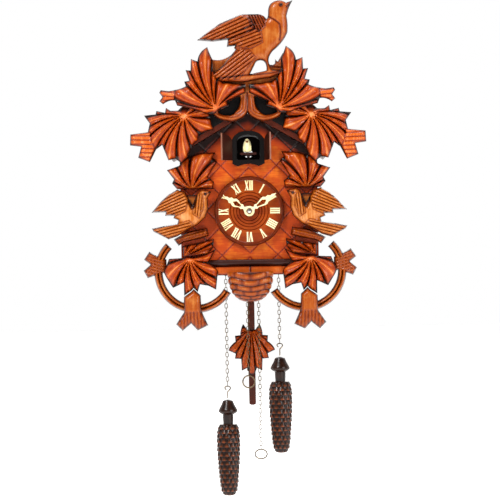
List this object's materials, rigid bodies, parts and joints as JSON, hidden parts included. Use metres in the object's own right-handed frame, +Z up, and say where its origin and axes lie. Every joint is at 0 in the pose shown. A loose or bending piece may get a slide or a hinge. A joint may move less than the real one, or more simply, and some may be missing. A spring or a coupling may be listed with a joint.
{
  "type": "cuckoo clock",
  "caption": "Wall cuckoo clock in a carved leaf-and-bird case, with a small dial, an opening doorway and cuckoo, a swinging leaf pendulum, and cone weights and pull rings on chains.",
  "frame": {"origin": "middle of the hanging hole, on the back panel's rear face", "axes": "+Z up, +Y into the wall, the dial faces -Y, +X to the right as seen from the front"},
  "size_m": [0.236, 0.1233, 0.4973],
  "materials": {
    "dark_wood": "stained almost black, satin lacquer",
    "front_wood": "carved, orange-brown stain, satin lacquer",
    "leaf_wood": "carved, red-brown stain, gloss lacquer",
    "bird_wood": "carved, golden-brown stain, gloss lacquer",
    "dial_wood": "turned, brown stain, satin lacquer",
    "black_plastic": "moulded, fine texture",
    "grey_plastic": "moulded",
    "cream_plastic": "moulded, satin",
    "cone_plastic": "moulded, painted dark brown, gloss",
    "battery_shell": "printed sleeve, plain",
    "steel": "bright",
    "bronze": "darkened, dull"
  },
  "bodies": {
    "case": {"back_panel": "dark_wood", "left_side_panel": "dark_wood", "right_side_panel": "dark_wood", "floor_board": "dark_wood", "left_roof_board": "dark_wood", "right_roof_board": "dark_wood", "front_panel": "front_wood", "dial": "dial_wood", "door_frame": "black_plastic", "crest_board": "leaf_wood", "left_crest_leaf": "leaf_wood", "right_crest_leaf": "leaf_wood", "left_shoulder_leaf": "leaf_wood", "right_shoulder_leaf": "leaf_wood", "top_bird": "bird_wood", "left_mid_leaf": "leaf_wood", "right_mid_leaf": "leaf_wood", "left_bird": "bird_wood", "right_bird": "bird_wood", "left_perch": "bird_wood", "right_perch": "bird_wood", "left_vine_hoop": "leaf_wood", "right_vine_hoop": "leaf_wood", "left_vine_stem": "bird_wood", "right_vine_stem": "bird_wood", "left_lower_leaf": "leaf_wood", "right_lower_leaf": "leaf_wood", "apron": "dark_wood", "nest": "bird_wood", "movement_housing": "grey_plastic", "movement_cover": "grey_plastic", "battery_a": "battery_shell", "battery_b": "battery_shell", "speaker": "black_plastic"},
    "service_door": {"service_door": "dark_wood"},
    "mode_switch": {"mode_switch": "cream_plastic"},
    "left_door": {"left_door": "black_plastic"},
    "right_door": {"right_door": "black_plastic"},
    "cuckoo": {"cuckoo": "cream_plastic", "cuckoo_slide": "leaf_wood"},
    "minute_train": {"minute_arbor": "steel", "minute_hand": "cream_plastic", "hand_nut": "steel", "set_knob": "grey_plastic"},
    "hour_train": {"hour_wheel": "cream_plastic", "hour_hand": "cream_plastic"},
    "motion_wheel": {"motion_wheel": "cream_plastic"},
    "pendulum": {"pendulum_hanger": "steel", "pendulum_rod": "leaf_wood", "pendulum_leaf": "leaf_wood"},
    "left_fall": {"left_chain_fall": "bronze"},
    "left_tail": {"left_chain_tail": "bronze"},
    "right_fall": {"right_chain_fall": "bronze"},
    "right_tail": {"right_chain_tail": "bronze"},
    "left_weight": {"left_hook": "bronze", "left_cone": "cone_plastic"},
    "right_weight": {"right_hook": "bronze", "right_cone": "cone_plastic"},
    "left_ring": {"left_pull_ring": "bronze"},
    "right_ring": {"right_pull_ring": "bronze"}
  },
  "joints": [
    {"name": "service_door_hinge", "type": "hinge", "parent": "case", "child": "service_door", "pos_m": [-0.0398, 0, -0.071], "axis": [0, 0, 1], "range_deg": [0, 110]},
    {"name": "mode_switch_slide", "type": "slide", "parent": "case", "child": "mode_switch", "axis": [1, 0, 0], "range_m": [-0.004, 0.004]},
    {"name": "cuckoo_slide", "type": "slide", "parent": "case", "child": "cuckoo", "axis": [0, 1, 0], "range_m": [0, 0.024]},
    {"name": "left_door_hinge", "type": "hinge", "parent": "case", "child": "left_door", "pos_m": [-0.016, -0.0934, 0.003], "axis": [0, 0, 1], "range_deg": [0, 130]},
    {"name": "right_door_hinge", "type": "hinge", "parent": "case", "child": "right_door", "pos_m": [0.016, -0.0934, 0.003], "axis": [0, 0, 1], "range_deg": [-110, 0]},
    {"name": "minute_turn", "type": "hinge", "parent": "case", "child": "minute_train", "pos_m": [0, -0.09, -0.061], "axis": [0, 1, 0], "continuous": true},
    {"name": "hour_turn", "type": "hinge", "parent": "case", "child": "hour_train", "pos_m": [0, -0.09, -0.061], "axis": [0, 1, 0], "continuous": true},
    {"name": "motion_wheel_turn", "type": "hinge", "parent": "case", "child": "motion_wheel", "pos_m": [0.012, -0.072, -0.061], "axis": [0, 1, 0], "continuous": true},
    {"name": "pendulum_swing", "type": "hinge", "parent": "case", "child": "pendulum", "pos_m": [0, -0.021, -0.077], "axis": [0, 1, 0], "range_deg": [-6, 6]},
    {"name": "left_weight_height", "type": "slide", "parent": "case", "child": "left_fall", "axis": [0, 0, 1], "range_m": [-0.03, 0.04]},
    {"name": "left_tail_height", "type": "slide", "parent": "case", "child": "left_tail", "axis": [0, 0, 1], "range_m": [-0.04, 0.03]},
    {"name": "right_weight_height", "type": "slide", "parent": "case", "child": "right_fall", "axis": [0, 0, 1], "range_m": [-0.04, 0.03]},
    {"name": "right_tail_height", "type": "slide", "parent": "case", "child": "right_tail", "axis": [0, 0, 1], "range_m": [-0.03, 0.04]},
    {"name": "left_weight_swing", "type": "hinge", "parent": "left_fall", "child": "left_weight", "pos_m": [-0.0252, -0.057, -0.2373], "axis": [0, 1, 0], "range_deg": [-6, 6]},
    {"name": "right_weight_swing", "type": "hinge", "parent": "right_fall", "child": "right_weight", "pos_m": [0.0285, -0.057, -0.1948], "axis": [0, 1, 0], "range_deg": [-6, 6]},
    {"name": "left_ring_swing", "type": "hinge", "parent": "left_tail", "child": "left_ring", "pos_m": [-0.0035, -0.041, -0.2278], "axis": [1, 0, 0], "range_deg": [-20, 20]},
    {"name": "right_ring_swing", "type": "hinge", "parent": "right_tail", "child": "right_ring", "pos_m": [0.0078, -0.041, -0.3043], "axis": [1, 0, 0], "range_deg": [-64, 20]}
  ],
  "couplings": [
    {"joint": "left_door_hinge", "follows": "cuckoo_slide", "rad_per_m": 94.5},
    {"joint": "right_door_hinge", "follows": "cuckoo_slide", "rad_per_m": -79.9},
    {"joint": "hour_turn", "follows": "minute_turn", "ratio": 0.083333},
    {"joint": "motion_wheel_turn", "follows": "minute_turn", "ratio": -0.33333},
    {"joint": "left_tail_height", "follows": "left_weight_height", "ratio": -1},
    {"joint": "right_tail_height", "follows": "right_weight_height", "ratio": -1}
  ]
}
